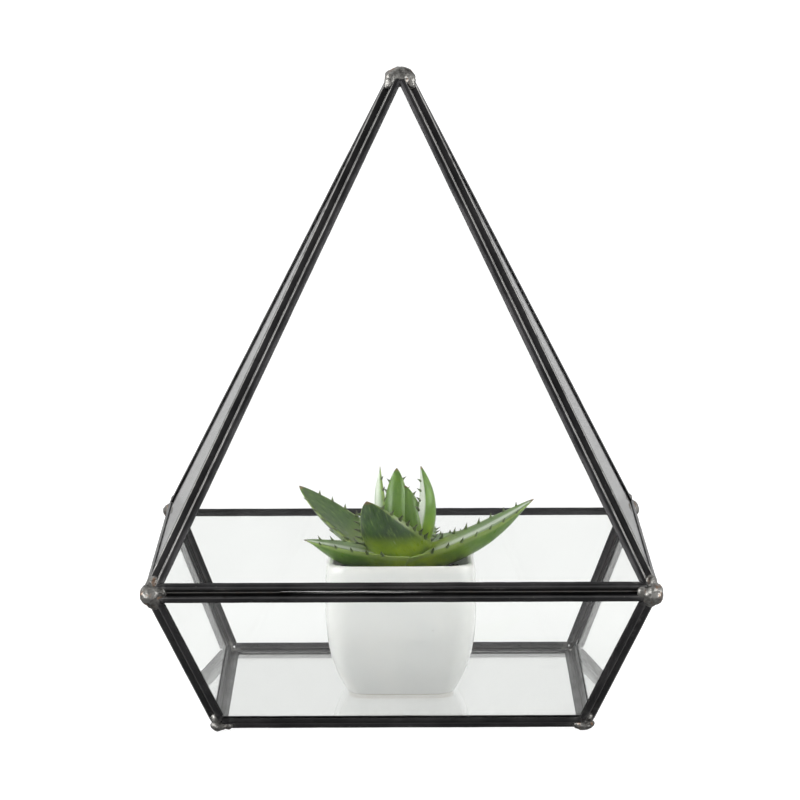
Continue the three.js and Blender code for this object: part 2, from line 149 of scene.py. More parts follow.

# %% [markdown]
# Real surfaces vary in more than one way at once. Four effects come back in several materials, so
# each is a shader group, built once: soft patches (stains, haze, glaze tone), fine grain for the
# bump, worn edges (on the solder drops they carry painted crest highlights), and small specks.
# Each takes coordinates and gives back only a mask or height.

# %% Shader groups
def shader_group(name, output, **numbers):
    """A group that reads coordinates and a few numbers and gives one mask or height."""
    inputs = [("Vector", "Vector"), *((label, "Float", n) for label, n in numbers.items())]
    return new_group("ShaderNodeTree", name, inputs, [(output, "Float")])


def noise_in(group, place, scale, detail, **more):
    return node(group, "TexNoise", {"Vector": place, "Scale": scale, "Detail": detail, **more})


PATCHES, given = shader_group("soft patches", "Mask", Scale=100.0, Amount=0.5, Softness=0.15)
cloud = noise_in(PATCHES, given["Vector"], given["Scale"], 5.0, Roughness=0.6, Distortion=0.4)
edge = 1.0 - given["Amount"]
patch = remap(cloud, edge - given["Softness"], edge + given["Softness"])
node(PATCHES, "NodeGroupOutput", {"Mask": patch})

GRAIN, given = shader_group("fine grain", "Height", Scale=800.0, Coarse=0.5)
fine = noise_in(GRAIN, given["Vector"], given["Scale"], 3.0)
coarse = noise_in(GRAIN, given["Vector"], given["Scale"] * 0.15, 2.0) * given["Coarse"]
node(GRAIN, "NodeGroupOutput", {"Height": fine + coarse})

EDGE_WEAR_AND_SHINE, given = shader_group("edge wear and crest shine", "Mask", Start=0.51, Full=0.58)
bend = node(EDGE_WEAR_AND_SHINE, "NewGeometry")["Pointiness"]
ragged = remap(noise_in(EDGE_WEAR_AND_SHINE, given["Vector"], 350.0, 4.0), 0.4, 0.6)
node(EDGE_WEAR_AND_SHINE, "NodeGroupOutput", {"Mask": remap(bend, given["Start"], given["Full"]) * ragged})

SPECKS, given = shader_group("small specks", "Mask", Scale=600.0, Size=0.2, Share=0.3)
cells = node(SPECKS, "TexVoronoi", {"Vector": given["Vector"], "Scale": given["Scale"]})
dot = remap(cells["Distance"], given["Size"], given["Size"] * 0.5)
chosen = node(SPECKS, "SeparateColor", {0: cells["Color"]}).math("LESS_THAN", given["Share"])
node(SPECKS, "NodeGroupOutput", {"Mask": dot * chosen})
print("shader groups:", [g.name for g in (PATCHES, GRAIN, EDGE_WEAR_AND_SHINE, SPECKS)])

# %% [markdown]
# A material is one Principled shader. What is the same all over goes straight into its sockets.
# Colours are laid over each other by masks, as paint and dirt are, and each material ends by
# linking its colour, its roughness and a bump.

# %% Material helpers
def srgb(red, green, blue):
    """A screen colour, 0 to 255, as the linear colour that a shader wants."""
    linear = [(v / 255 / 12.92 if v <= 10 else ((v / 255 + 0.055) / 1.055) ** 2.4)
              for v in (red, green, blue)]
    return (*linear, 1.0)


def new_material(name, **plain):
    material = bpy.data.materials.new(name)
    material.use_nodes = True
    shader = material.node_tree.nodes["Principled BSDF"]
    for label, value in plain.items():
        shader.inputs[label.replace("_", " ")].default_value = value
    print("finish:", name)
    return material, shader, node(material.node_tree, "TexCoord")["Object"]


def use(group, place, **numbers):
    return node(place.tree, "Group", {"Vector": place, **numbers}, node_tree=group)


def mesh_value(place, name):
    """A value stored on the mesh's points, read in the same material as the place."""
    return node(place.tree, "Attribute", attribute_name=name)["Fac"]


def layered(colour, *layers):
    """Paints laid over a colour, each with the mask that shows where it lies."""
    for paint, mask in layers:
        below, above = (srgb(*c) if isinstance(c, tuple) else c for c in (colour, paint))
        colour = node(mask.tree, "Mix", {0: mask, 6: below, 7: above}, data_type="RGBA")[2]
    return colour


def between(mask, low, high):
    return remap(mask, 0.0, 1.0, low, high)


def feed(shader, **values):
    for label, value in values.items():
        value.tree.links.new(value.socket, shader.inputs[label.replace("_", " ")])


def end_material(shader, colour, roughness, height, depth, strength):
    """Feeds the shader. The height is a mask, and the depth its bump's reach in mm."""
    bump = node(height.tree, "Bump", {"Height": height, "Distance": depth * MM,
                                      "Strength": strength})
    feed(shader, Base_Color=colour, Roughness=roughness, Normal=bump)


print("material helpers ready")

# %% [markdown]
# The channels are thin sheet metal with a black patina: nearly black, with a dull haze in patches.
# A painted highlight lies along the outer folds, strongest on the upper posts, so the mesh carries
# where it lies. The seams in the grooves are dark solder, with painted light along the upper posts.
# The drops are the same solder in thicker lumps: grey, darkened in patches, stained brown by old
# flux, and with painted highlights on their crests.

# %% Patinated metal and solder
CHANNEL, shader, place = new_material("black patina", Metallic=1.0)
haze = use(PATCHES, place, Scale=45.0, Amount=0.5, Softness=0.2)
stain = use(PATCHES, place, Scale=420.0, Amount=0.34, Softness=0.08)
specks = use(SPECKS, place, Scale=700.0, Size=0.2, Share=0.05)
# painted highlight along the outer folds of the channels, strongest on the upper posts
painted_glint = mesh_value(place, "painted_fold_glint") * use(PATCHES, place, Scale=150.0, Amount=0.62, Softness=0.2)
colour = layered((50, 50, 51), ((64, 63, 64), haze), ((40, 37, 34), stain * 0.5),
                 ((200, 199, 196), painted_glint * 0.85), ((128, 127, 125), use(EDGE_WEAR_AND_SHINE, place) * 0.45),
                 ((128, 124, 116), specks * 0.4))
end_material(shader, colour, between(haze, 0.3, 0.42),
             use(GRAIN, place, Scale=700.0, Coarse=1.2), 0.04, 0.6)

SEAM, shader, place = new_material("seam solder", Metallic=1.0)
# painted light along the seams of the upper posts, in patches
groove_light_patches = use(PATCHES, place, Scale=120.0, Amount=0.7, Softness=0.15)
stain = use(PATCHES, place, Scale=500.0, Amount=0.4, Softness=0.1)
colour = layered((24, 24, 24), ((206, 205, 202), mesh_value(place, "bright") * groove_light_patches),
                 ((84, 66, 54), stain * 0.3))
end_material(shader, colour, between(stain, 0.34, 0.5),
             use(GRAIN, place, Scale=900.0, Coarse=1.0), 0.05, 0.6)

SOLDER, shader, place = new_material("patinated solder", Metallic=1.0)
dark = use(PATCHES, place, Scale=170.0, Amount=0.44, Softness=0.12)
flux = use(PATCHES, place, Scale=260.0, Amount=0.38, Softness=0.06)
# painted highlights on the crests of the drops
painted_crest_shine = use(EDGE_WEAR_AND_SHINE, place, Start=0.5, Full=0.55)
specks = use(SPECKS, place, Scale=900.0, Size=0.3, Share=0.2)
colour = layered((116, 115, 112), ((54, 53, 51), dark), ((108, 76, 50), flux * 0.75),
                 ((170, 169, 166), painted_crest_shine * 0.2), ((206, 204, 200), specks * 0.15))
end_material(shader, colour, between(dark, 0.44, 0.58),
             use(GRAIN, place, Scale=1100.0, Coarse=1.5), 0.1, 0.8)

# %% [markdown]
# Window glass is clear and nearly without colour. Handling leaves smudges that only show as a
# slightly softer shine, and rolled sheet is never perfectly flat. The panes' solids are right as
# they are, so they stay and only get this finish.

# %% Glass panes
GLASS, shader, place = new_material(
    "clear glass", Metallic=0.0, IOR=1.5, Specular_IOR_Level=0.15, Transmission_Weight=1.0)
smudge = use(PATCHES, place, Scale=16.0, Amount=0.4, Softness=0.2)
specks = use(SPECKS, place, Scale=90.0, Size=0.05, Share=0.06)
colour = layered((244, 245, 244), ((241, 242, 241), smudge), ((196, 198, 196), specks * 0.5))
end_material(shader, colour, between(smudge, 0.0, 0.01),
             use(GRAIN, place, Scale=22.0, Coarse=1.0), 0.01, 0.1)

glass_nodes = sorted(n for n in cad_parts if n.startswith("glass_"))
for name in glass_nodes:
    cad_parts[name].data.materials.clear()
    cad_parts[name].data.materials.append(GLASS)
print("glass panes:", glass_nodes)

# %% [markdown]
# The case is a square pyramid standing on a short, wide tub: a base square, a wider rim square and
# a point above. All channels and solder follow from these nine corner points. A pane is its
# corners in order seen from outside, and for each side the kind of edge that it lies on.

# %% Corner points and panes
RIM_HALF, BASE_HALF = 108 * MM, 80.1 * MM
BASE_Z, RIM_Z, APEX_Z = 3.0 * MM, 66.2 * MM, 283.9 * MM
SIDES = ["front", "right", "back", "left"]
SIGNS = {"front": (-1, -1), "right": (1, -1), "back": (1, 1), "left": (-1, 1)}
GLAZED_ABOVE = ["front", "right", "left"]


def corner_at(side, half, z):
    return Vector((SIGNS[side][0] * half, SIGNS[side][1] * half, z))


def pane(name, corners, edges):
    """A pane with, for each side, the way along it and the way into the pane."""
    count = len(corners)
    along = [(corners[(i + 1) % count] - p).normalized() for i, p in enumerate(corners)]
    normal = along[0].cross(along[1]).normalized()
    return {"name": name, "corners": corners, "edges": edges, "along": along,
            "inward": [normal.cross(d) for d in along], "normal": normal}


apex = Vector((0, 0, APEX_Z))
rims = {side: corner_at(side, RIM_HALF, RIM_Z) for side in SIDES}
feet = {side: corner_at(side, BASE_HALF, BASE_Z) for side in SIDES}
PANES = [pane("base", [feet[side] for side in ("front", "left", "back", "right")],
              [(side, "foot") for side in ("left", "back", "right", "front")])]
following = dict(zip(SIDES, SIDES[1:] + SIDES[:1]))
for side, turn in following.items():
    PANES.append(pane("lower_" + side, [feet[side], feet[turn], rims[turn], rims[side]],
                      [("bottom", "foot"), ("right", "lower_corner"), ("top", "rim"),
                       ("left", "lower_corner")]))
for side in GLAZED_ABOVE:
    PANES.append(pane("upper_" + side, [rims[side], rims[following[side]], apex],
                      [("bottom", "rim"), ("right", "upper_corner"), ("left", "upper_corner")]))
print("panes:", [p["name"] for p in PANES])

# %% [markdown]
# Two channels meet along every shared edge, so each web keeps clear of the edge line by an amount
# that depends on the angle between the two panes.

# %% Where each channel's web lies
CHANNEL_THICKNESS = 3.6 * MM
CHANNEL_WIDTH = 3.1 * MM
CHANNEL_SHEET = 0.7 * MM
CLEARANCE = 0.3 * MM
normal_of = {p["name"]: p["normal"] for p in PANES}


def web_offset(one, other):
    half = (math.pi - normal_of[one].angle(normal_of[other])) / 2
    return (CHANNEL_THICKNESS / 2 * math.cos(half) + CLEARANCE / 2) / math.sin(half)


WEB_OFFSET = {"foot": web_offset("base", "lower_front"),
              "rim": web_offset("lower_front", "upper_front"),
              "lower_corner": web_offset("lower_front", "lower_right"),
              "upper_corner": web_offset("upper_front", "upper_right")}
print("web offsets in mm:", {k: round(v / MM, 2) for k, v in WEB_OFFSET.items()})

# %% [markdown]
# A channel is one strip of sheet folded to a U and laid along a pane's edge, cut to a mitre at
# each end. It could be an extruded outline cut by planes, but Geometry Nodes fit better: one tree
# folds the section and sweeps it along every edge at once. The guide is a chain of points for
# each edge that carries which way is into the pane, where the web lies, how the ends are cut, and
# how strong the painted highlight along the fold is on that kind of edge.

# %% Meshes and guides
def mesh_object(name, points, faces):
    mesh = bpy.data.meshes.new(name)
    mesh.from_pydata([tuple(p) for p in points], [], faces)
    mesh.validate()
    mesh.update()
    mesh.polygons.foreach_set("use_smooth", [True] * len(mesh.polygons))
    return in_scene(name, mesh)


def give_values(mesh, **named):
    """Stores numbers or vectors, one for each point, under their names."""
    for name, values in named.items():
        is_vector = np.ndim(values[0]) > 0
        rows = np.array([tuple(v) for v in values] if is_vector else values, np.float32)
        made = mesh.attributes.new(name, "FLOAT_VECTOR" if is_vector else "FLOAT", "POINT")
        made.data.foreach_set("vector" if is_vector else "value", rows.ravel())


def add_row(columns, row):
    for name, value in zip(columns, row):
        columns[name].append(value)


def chain_edges(first, count):
    return [(k, k + 1) for k in range(first, first + count - 1)]


def new_guide(name, points, edges=(), **named):
    """A few points with edges that carry named values, for a tree to turn into a shape."""
    guide = mesh_object(name, points, [])
    guide.data.edges.add(len(edges))
    guide.data.edges.foreach_set("vertices", np.array(edges, np.int32).ravel())
    give_values(guide.data, **named)
    return guide


print("meshes and guides ready")

# %% Guide chains for the channels
FREE_APEX, FREE_RIM, FREE_BASE = 7 * MM, 4 * MM, 2.6 * MM
GUIDE_STEP, END_ROOM = 4 * MM, 9 * MM
# how strong the painted highlight along the folds is, for each kind of edge
GLINT_SHARE = {"foot": 0.15, "rim": 0.05, "lower_corner": 0.2, "upper_corner": 1.0}


def free_at(corner):
    """Length of channel left off at a corner, where the solder's core is."""
    if corner.z > RIM_Z + MM:
        return FREE_APEX
    return FREE_RIM if corner.z > BASE_Z + MM else FREE_BASE


def mitre_slope(from_pane, i, other):
    """How far the mitre runs along the edge for each millimetre into the pane."""
    angle = math.pi - from_pane["along"][i].angle(from_pane["along"][other])
    return 1 / math.tan(angle / 2)


points, edges, channel_nodes = [], [], []
chain = {name: [] for name in ("inward", "along", "offset", "painted_glint", "end", "free", "slope")}
for p in PANES:
    count = len(p["corners"])
    for i, (edge_name, kind) in enumerate(p["edges"]):
        channel_nodes.append(f"channel_{p['name']}_{edge_name}")
        start, end = p["corners"][i], p["corners"][(i + 1) % count]
        run = p["along"][i]
        length = (end - start).length
        steps = max(2, round((length - 2 * END_ROOM) / GUIDE_STEP))
        middles = [END_ROOM + (length - 2 * END_ROOM) * k / steps for k in range(steps + 1)]
        stops = [(0.0, 1, free_at(start), mitre_slope(p, i, (i - 1) % count))]
        stops += [(m, 0, 0.0, 0.0) for m in middles]
        stops += [(length, -1, free_at(end), mitre_slope(p, i, (i + 1) % count))]
        edges += chain_edges(len(points), len(stops))
        for distance, *cut in stops:
            points.append(start + run * distance)
            add_row(chain, (p["inward"][i], run, WEB_OFFSET[kind], GLINT_SHARE[kind], *cut))
print("channel lengths:", len(channel_nodes), "guide points:", len(points))
guide = new_guide("channel_guide", points, edges, **chain)

# %% [markdown]
# Every tree has a named input for each size and one for its material. Its result becomes a plain
# mesh, because only plain meshes keep their shape outside Blender.

# %% Trees and their results
def geometry_tree(name, *sizes):
    """A Geometry Nodes tree with a named input for each size and one for the material."""
    families = {"Seed": "Int", "Finish": "Material"}
    inputs = [(label, families.get(label, "Float")) for label in (*sizes, "Finish")]
    return new_group("GeometryNodeTree", name, [("Geometry", "Geometry"), *inputs],
                     [("Geometry", "Geometry")])


def vector_math(operation, first, second):
    made = node(first.tree, "VectorMath", {0: first, 1: second}, operation=operation)
    return made["Value"] if operation == "DOT_PRODUCT" else made


def scaled(vector, factor):
    return node(vector.tree, "VectorMath", {0: vector, "Scale": factor}, operation="SCALE")


def moved(geometry, offset):
    return node(geometry.tree, "SetPosition", {"Geometry": geometry, "Offset": offset})


def jostled(geometry, reach, scale, detail):
    """Points pushed about by noise that reads their real place."""
    noise = node(geometry.tree, "TexNoise", {"Scale": scale, "Detail": detail})
    centred = vector_math("SUBTRACT", noise["Color"], (0.5, 0.5, 0.5))
    return moved(geometry, scaled(centred, reach))


def carried(tree, name, kind="FLOAT"):
    """A value that the guide's points carry."""
    return node(tree, "InputNamedAttribute", {"Name": name}, data_type=kind)


def stored(geometry, name, value, kind="FLOAT"):
    return node(geometry.tree, "StoreNamedAttribute",
                {"Geometry": geometry, "Name": name, "Value": value},
                data_type=kind, domain="POINT")


def end_tree(geometry, material):
    """Every tree ends the same way: real geometry, smooth faces and its material."""
    tree = geometry.tree
    real = node(tree, "RealizeInstances", {0: geometry})
    smooth = node(tree, "SetShadeSmooth", {"Geometry": real})
    painted = node(tree, "SetMaterial", {"Geometry": smooth, "Material": material})
    node(tree, "NodeGroupOutput", {0: painted})


def plain_piece(name, guide, tree, values):
    """The tree's result on the guide object as a plain mesh object. The guide is removed."""
    modifier = guide.modifiers.new(tree.name, "NODES")
    modifier.node_group = tree
    for item in tree.interface.items_tree:
        if item.in_out == "INPUT" and item.name in values:
            modifier[item.identifier] = values[item.name]
    graph = bpy.context.evaluated_depsgraph_get()
    mesh = bpy.data.meshes.new_from_object(guide.evaluated_get(graph))
    mesh.name = name
    guide.modifiers.remove(modifier)
    bpy.data.objects.remove(guide)
    return in_scene(name, mesh)


def settle(piece, slot, *nodes):
    """The piece rides on the one body and stands for its nodes, which are hidden. The slot is not
    used.
    """
    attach(piece, "root")
    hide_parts(*nodes)
    triangles = sum(len(p.vertices) - 2 for p in piece.data.polygons)
    print(piece.name, "stands for", len(nodes), "nodes with", triangles, "triangles")


print("tree helpers ready")

# %% [markdown]
# The section is drawn once as ten corner points, from the web's one end round to the other, and
# each corner is rounded by its own share of the fold radius. The two outer folds differ: the one
# towards the inside of the case is tighter.

# %% The tree that folds and sweeps a channel
CROWN_SHARE = 0.6  # the sides are full up to this share of the width, then taper to the lips
BEND_SHARES = [0.35, 0.6, 0.12, 0.08, 0.15, 0.15, 0.08, 0.12, 0.9, 1.0]
FOLD_AT = 0.35 * MM  # how deep the painted highlight line lies; it fades out from there over the depths on the next line
GLINT_DEPTHS, GLINT_SIDES = (0.24 * MM, 0.05 * MM), (0.9 * MM, 1.1 * MM)  # and lies at both sides
FOLD_STEPS, WAVE_SCALE = 7, 110.0

tree, size = geometry_tree("folded channel", "Thickness", "Width", "Sheet", "Fold radius",
                           "Taper", "Mitre gap", "Waviness")
width, sheet = size["Width"], size["Sheet"]
half = size["Thickness"] * 0.5
slot_half = half - sheet
lip = half - size["Taper"]
crowned = width * CROWN_SHARE
section = [(0.0, -half), (crowned, -half), (width, -lip), (width, -slot_half),
           (sheet, -slot_half), (sheet, slot_half), (width, slot_half), (width, lip),
           (crowned, half), (0.0, half)]


def by_index(kind, values):
    """A value for each point of the section, picked by the point's number."""
    pick = node(tree, "IndexSwitch", data_type=kind).socket.node
    while len(pick.index_switch_items) < len(values):
        pick.index_switch_items.new()
    for k, value in enumerate([node(tree, "InputIndex"), *values]):
        tree.links.new(value.socket, pick.inputs[k])
    return Value(pick.outputs[0])


corners = [node(tree, "CombineXYZ", {0: x, 1: y}) for x, y in section]
bends = [size["Fold radius"] * share for share in BEND_SHARES]
line = node(tree, "MeshLine", {"Count": len(section)})
placed = node(tree, "SetPosition", {"Geometry": line, "Position": by_index("VECTOR", corners)})
outline = node(tree, "MeshToCurve", {0: placed})
closed = node(tree, "SetSplineCyclic", {0: outline, "Cyclic": True})
folded = node(tree, "FilletCurve",
              {"Curve": closed, "Count": FOLD_STEPS, "Radius": by_index("FLOAT", bends),
               "Limit Radius": True}, mode="POLY")

inward, along = (carried(tree, name, "FLOAT_VECTOR") for name in ("inward", "along"))
curve = node(tree, "MeshToCurve", {0: size["Geometry"]})
turned = node(tree, "SetCurveNormal", {"Curve": curve, "Normal": inward}, mode="FREE")
seat = stored(turned, "seat", node(tree, "InputPosition"), "FLOAT_VECTOR")
swept = node(tree, "CurveToMesh", {"Curve": seat, "Profile Curve": folded, "Fill Caps": True})
shifted = moved(swept, scaled(inward, carried(tree, "offset")))

from_seat = vector_math("SUBTRACT", node(tree, "InputPosition"),
                        carried(tree, "seat", "FLOAT_VECTOR"))
depth_in = vector_math("DOT_PRODUCT", from_seat, inward)
outward = vector_math("CROSS_PRODUCT", inward, along)
from_middle = vector_math("DOT_PRODUCT", from_seat, outward).math("ABSOLUTE")
from_fold = (depth_in - carried(tree, "offset") - FOLD_AT).math("ABSOLUTE")
fold = remap(from_fold, *GLINT_DEPTHS) * remap(from_middle, *GLINT_SIDES)
# the painted highlight line along the outer fold, stored on the mesh
painted_fold_glint = stored(shifted, "painted_fold_glint", carried(tree, "painted_glint") * fold)
mitre = depth_in * carried(tree, "slope") + size["Mitre gap"]
cut_at = mitre.math("MAXIMUM", carried(tree, "free")) * carried(tree, "end")
cut = moved(painted_fold_glint, scaled(along, cut_at))
end_tree(jostled(cut, size["Waviness"], WAVE_SCALE, detail=2.0), size["Finish"])

channels = plain_piece("channels", guide, tree, {
    "Thickness": CHANNEL_THICKNESS, "Width": CHANNEL_WIDTH, "Sheet": CHANNEL_SHEET,
    "Fold radius": 1.2 * MM, "Taper": 0.4 * MM, "Mitre gap": CLEARANCE / 2, "Waviness": 0.22 * MM,
    "Finish": CHANNEL})
settle(channels, "channel", *channel_nodes)

# %% [markdown]
# Where two channels lie side by side, a thin run of solder closes the groove between them. It
# follows a straight edge, so it is a thin tube swept along a guide whose points carry the tube's
# radius. Along part of the front rim it has broken away, and a hair of light shows through there.

# %% Where the seams run
SEAM_RADIUS, RIDGE_RADIUS, SEAM_DEPTH = 0.6 * MM, 0.28 * MM, 0.5 * MM
SEAM_STEP = 2.5 * MM
# how much painted light each kind of seam carries
GROOVE_LIGHT_SHARE = {"rim": 0.12, "lower_corner": 0.04, "upper_corner": 0.6}
SLIT_MIDDLE, SLIT_HALF = -17.5 * MM, 34.5 * MM
SLIT_RADIUS, SLIT_TAPER = 0.2 * MM, 0.14 * MM  # thinnest in the middle, fuller to both ends


def seam_place(one, i):
    """Where the inner corner of this channel lies, measured from the edge line."""
    web = WEB_OFFSET[one["edges"][i][1]]
    return one["inward"][i] * web - one["normal"] * (CHANNEL_THICKNESS / 2 - SEAM_DEPTH)


sides_of = {}
for p in PANES:
    for i, corner in enumerate(p["corners"]):
        end = p["corners"][(i + 1) % len(p["corners"])]
        key = frozenset((tuple(round(v, 5) for v in corner), tuple(round(v, 5) for v in end)))
        sides_of.setdefault(key, []).append((p, i))
grooves = [found for found in sides_of.values() if len(found) == 2]

points, edges, thickness, bright = [], [], [], []
for (one, i), (other, j) in grooves:
    start, end = one["corners"][i], one["corners"][(i + 1) % len(one["corners"])]
    kind = one["edges"][i][1]
    whole = RIDGE_RADIUS if kind == "upper_corner" else SEAM_RADIUS
    front_rim = kind == "rim" and one["name"].endswith("front")
    shift = (seam_place(one, i) + seam_place(other, j)) / 2
    stops = np.arange(free_at(start), (end - start).length - free_at(end), SEAM_STEP)
    edges += chain_edges(len(points), len(stops))
    for distance in stops:
        points.append(start + one["along"][i] * distance + shift)
        from_slit = abs(points[-1].x - SLIT_MIDDLE) / SLIT_HALF
        broken = front_rim and from_slit < 1
        thickness.append(SLIT_RADIUS + SLIT_TAPER * from_slit ** 3 if broken else whole)
        bright.append(GROOVE_LIGHT_SHARE.get(kind, 0.0))
print("seams:", len(grooves), "guide points:", len(points))
guide = new_guide("seam_guide", points, edges, thickness=thickness, bright=bright)

# %% Run the solder into the grooves
tree, size = geometry_tree("groove seam", "Roughness")
curve = node(tree, "MeshToCurve", {0: size["Geometry"]})
circle = node(tree, "CurvePrimitiveCircle", {"Resolution": 8, "Radius": 1.0})
tube = node(tree, "CurveToMesh",
            {"Curve": curve, "Profile Curve": circle, "Scale": carried(tree, "thickness"),
             "Fill Caps": True})
end_tree(jostled(tube, size["Roughness"], scale=420.0, detail=2.0), size["Finish"])

seams = plain_piece("groove_seams", guide, tree, {"Roughness": 0.08 * MM, "Finish": SEAM})
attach(seams, "root")
print("seam faces:", len(seams.data.polygons))

# %% [markdown]
# At each corner a drop of solder froze as it ran over the channel ends, so it is a lump with a
# short arm along each channel, and no two are alike. Sculpting nine of them by hand would be slow.
# Balls on the corner and along the edges, melted together as a volume and then pushed in and out
# by noise that reads the real place, give nine different drops from one tree. Under the feet the
# lumps are flattened where they stand.

# %% Where the solder ran
DROP_KINDS = {  # lump's half sizes, rise, inset; balls along each edge: distance and radius
    "apex": ((6.8, 6.5, 4.7), -7.5, 0.0, [(9.2, 2.9), (11.2, 2.6), (13.0, 2.1)]),
    "rim": ((5.2, 5.2, 5.0), -1.2, 1.7, [(4.6, 3.4)]),
    "base": ((4.5, 4.5, 2.8), -0.2, 1.2, [(3.5, 2.5)]),
}
ARM_INSET = 1.0
balls, ball_sizes, solder_nodes = [], [], []


def step_in(corner, distance):
    """A step towards the middle of the case. At the apex, which is in the middle, it is none."""
    return Vector((-np.sign(corner.x), -np.sign(corner.y), 0)) * distance * MM


def add_drop(kind, corner, others, name):
    lump, rise, inset, arms = DROP_KINDS[kind]
    balls.append(corner + step_in(corner, inset) + Vector((0, 0, rise * MM)))
    ball_sizes.append(np.array(lump) * MM)
    for other in others:
        run = (other - corner).normalized()
        for distance, radius in arms:
            balls.append(corner + run * distance * MM + step_in(corner, ARM_INSET))
            ball_sizes.append(np.full(3, radius * MM))
    solder_nodes.append(name)


add_drop("apex", apex, rims.values(), "solder_apex")
for before, side in zip(SIDES[-1:] + SIDES, SIDES):
    turn, corner_name = following[side], f"{side}_{before}"
    add_drop("rim", rims[side], (rims[before], rims[turn], feet[side], apex),
             "solder_rim_" + corner_name)
    add_drop("base", feet[side], (feet[before], feet[turn], rims[side]),
             "solder_base_" + corner_name)
print("solder:", len(solder_nodes), "drops from", len(balls), "balls")
guide = new_guide("drop_guide", balls, half=ball_sizes)

# %% Melt and place the drops
tree, size = geometry_tree("frozen drops", "Voxel", "Lump scale", "Lump height",
                           "Wrinkle scale", "Wrinkle height", "Seed")
ball = node(tree, "MeshIcoSphere", {"Radius": 1.0, "Subdivisions": 4})
on_corners = node(tree, "InstanceOnPoints", {"Points": size["Geometry"], "Instance": ball,
                                             "Scale": carried(tree, "half", "FLOAT_VECTOR")})
real = node(tree, "RealizeInstances", {0: on_corners})
volume = node(tree, "MeshToVolume",
              {"Mesh": real, "Voxel Size": size["Voxel"], "Density": 1.0,
               "Interior Band Width": 2 * MM}, resolution_mode="VOXEL_SIZE")
melted = node(tree, "VolumeToMesh",
              {"Volume": volume, "Voxel Size": size["Voxel"], "Threshold": 0.1},
              resolution_mode="VOXEL_SIZE")
soft = node(tree, "BlurAttribute", {"Value": node(tree, "InputPosition"), "Iterations": 3},
            data_type="FLOAT_VECTOR")
relaxed = node(tree, "SetPosition", {"Geometry": melted, "Position": soft})


def hills(scale, detail, height):
    """Noise that reads the real place and reaches half the height both ways."""
    noise = node(tree, "TexNoise", {"W": size["Seed"], "Scale": scale, "Detail": detail},
                 noise_dimensions="4D")
    return (noise - 0.5) * height


push = (hills(size["Lump scale"], 1.5, size["Lump height"])
        + hills(size["Wrinkle scale"], 3.0, size["Wrinkle height"]))
lumpy = moved(relaxed, scaled(node(tree, "InputNormal"), push))
above_floor = vector_math("MAXIMUM", node(tree, "InputPosition"), (-1.0, -1.0, 0.0))
standing = node(tree, "SetPosition", {"Geometry": lumpy, "Position": above_floor})
end_tree(standing, size["Finish"])

solder = plain_piece("solder_drops", guide, tree, {
    "Voxel": 0.36 * MM, "Lump scale": 190.0, "Lump height": 2.8 * MM, "Wrinkle scale": 900.0,
    "Wrinkle height": 0.6 * MM, "Seed": 3, "Finish": SOLDER})
settle(solder, "solder", *solder_nodes)

# %% [markdown]
# The pot is slip-cast ceramic: a soft square that is upright above, tapers to a narrow foot and
# has a rounded lip, under a white glaze. Rings of a rounded square, stacked by the same rule for
# the half width as in the solids, give it exactly; the rings are close, so no flat facets show.
# The pot's sizes are in millimetres, and become metres where a point is placed.

# %% Pot profile
POT_CENTRE = Vector((-0.4, 0, 0)) * MM
POT_Z = 4.2 * MM
POT_HEIGHT = 59.0
POT_TOP_HALF, POT_PULL, POT_UPRIGHT, POT_POWER = 33.4, 10.4, 45.0, 2.8
POT_WALL, POT_FLOOR = 3.2, 4.5
FOOT_FILLET, FOOT_SLOPE, LIP_TUCK = 3.2, math.radians(33), 0.7
FOOT_RINGS, LIP_RINGS = 9, 13
OUTSIDE_HEIGHTS = np.linspace(2.2, 56.8, 46)
INSIDE_HEIGHTS = np.linspace(55, POT_FLOOR, 24)


def pot_half(height):
    below = max(0.0, 1 - height / POT_UPRIGHT)
    above = max(0.0, height / POT_UPRIGHT - 1) * POT_UPRIGHT / (POT_HEIGHT - POT_UPRIGHT)
    return POT_TOP_HALF - POT_PULL * below ** POT_POWER - LIP_TUCK * above ** 2


last_angle = math.pi / 2 - FOOT_SLOPE
fillet_middle = (pot_half(FOOT_FILLET * (1 - math.cos(last_angle)))
                 - FOOT_FILLET * math.sin(last_angle))
profile = [(fillet_middle + FOOT_FILLET * math.sin(a), FOOT_FILLET * (1 - math.cos(a)))
           for a in np.linspace(0, last_angle, FOOT_RINGS)]
profile += [(pot_half(h), h) for h in OUTSIDE_HEIGHTS]
lip_radius = POT_WALL / 2
lip_middle = pot_half(POT_HEIGHT) - lip_radius
profile += [(lip_middle + lip_radius * math.cos(a), POT_HEIGHT - lip_radius * (1 - math.sin(a)))
            for a in np.linspace(0, math.pi, LIP_RINGS)]
profile += [(pot_half(h) - POT_WALL, h) for h in INSIDE_HEIGHTS]
print("pot profile:", len(profile), "rings, widest", 2 * max(p[0] for p in profile), "mm")

# %% [markdown]
# White glaze is never one white. It pools a little thicker and cooler in patches, thins to a warmer
# tone on the lip, has a few pin-prick specks, and ends just above a bare, matt foot. A clear coat
# over a slightly uneven surface gives the soft, broad highlights.

# %% White glaze
LIP_ZONE, BARE_FOOT = (POT_Z + 54 * MM, POT_Z + 59 * MM), (POT_Z + 0.9 * MM, POT_Z + 0.4 * MM)

